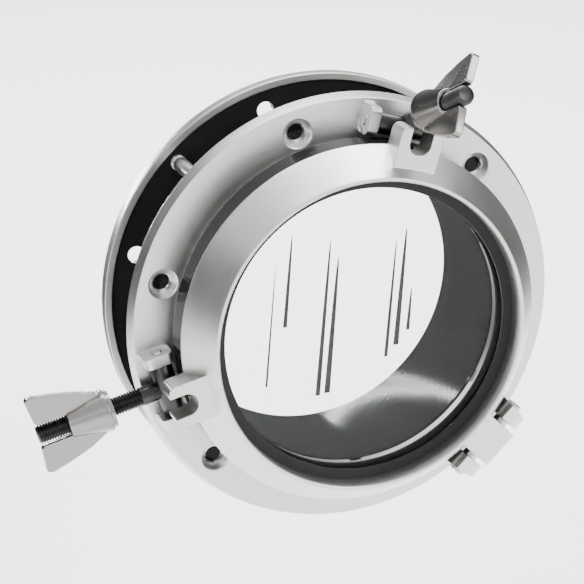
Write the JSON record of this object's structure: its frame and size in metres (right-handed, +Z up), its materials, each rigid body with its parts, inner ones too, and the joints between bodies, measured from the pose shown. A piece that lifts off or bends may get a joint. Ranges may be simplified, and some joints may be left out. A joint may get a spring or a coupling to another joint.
{
  "type": "porthole window",
  "caption": "Opening round ship window: flanged wall casting and outer ring with a hinged, glazed frame that swing bolts and wing nuts hold shut.",
  "frame": {"origin": "centre of the mounting bolt circle, on the flange face that lies on the wall", "axes": "+Y through the wall to the outside, -Y into the room, +Z up"},
  "size_m": [0.3479, 0.1748, 0.3177],
  "materials": {
    "plated_casting": "satin nickel plate over cast brass",
    "plated_turned": "polished nickel plate over turned brass",
    "steel": "machined stainless",
    "rubber": "matt black rubber",
    "glass": "clear toughened glass"
  },
  "bodies": {
    "frame": {"main_frame": "plated_casting", "outer_ring": "plated_casting", "ring_stud_1": "steel", "ring_stud_2": "steel", "ring_stud_3": "steel", "stud_nut_1": "steel", "stud_nut_2": "steel", "stud_nut_3": "steel", "hinge_pin": "steel", "upper_pivot_pin": "steel", "side_pivot_pin": "steel"},
    "sash": {"glass_frame": "plated_casting", "glass_pane": "glass", "glazing_gasket": "rubber", "retaining_ring": "plated_casting", "ring_lock_screws": "steel", "seal_gasket": "rubber"},
    "upper_bolt": {"upper_swing_bolt": "plated_turned"},
    "upper_washer": {"upper_washer": "plated_turned"},
    "upper_nut": {"upper_wing_nut": "plated_turned"},
    "side_bolt": {"side_swing_bolt": "plated_turned"},
    "side_washer": {"side_washer": "plated_turned"},
    "side_nut": {"side_wing_nut": "plated_turned"}
  },
  "joints": [
    {"name": "sash_hinge", "type": "hinge", "parent": "frame", "child": "sash", "pos_m": [0.09051, -0.026, -0.09051], "axis": [0.7071, 0, 0.7071], "range_deg": [0, 140]},
    {"name": "upper_bolt_swing", "type": "hinge", "parent": "frame", "child": "upper_bolt", "pos_m": [0.03196, -0.016, 0.11929], "axis": [-0.9659, 0, 0.2588], "range_deg": [-27, 65]},
    {"name": "upper_washer_slide", "type": "slide", "parent": "upper_bolt", "child": "upper_washer", "axis": [0.1175, -0.891, 0.4385], "range_m": [-0.00195, 0.03]},
    {"name": "upper_nut_turn", "type": "hinge", "parent": "upper_washer", "child": "upper_nut", "pos_m": [0.03196, -0.016, 0.11929], "axis": [0.1175, -0.891, 0.4385], "range_deg": [-401.14, 6171.43]},
    {"name": "side_bolt_swing", "type": "hinge", "parent": "frame", "child": "side_bolt", "pos_m": [-0.11929, -0.016, -0.03196], "axis": [0.2588, 0, -0.9659], "range_deg": [-92, 0]},
    {"name": "side_washer_slide", "type": "slide", "parent": "side_bolt", "child": "side_washer", "axis": [-0.9653, 0.0349, -0.2587], "range_m": [-0.00195, 0.03]},
    {"name": "side_nut_turn", "type": "hinge", "parent": "side_washer", "child": "side_nut", "pos_m": [-0.11929, -0.016, -0.03196], "axis": [-0.9653, 0.0349, -0.2587], "range_deg": [-401.14, 6171.43]}
  ],
  "couplings": [
    {"joint": "upper_washer_slide", "follows": "upper_nut_turn", "m_per_rad": 0.00027852},
    {"joint": "side_washer_slide", "follows": "side_nut_turn", "m_per_rad": 0.00027852}
  ]
}
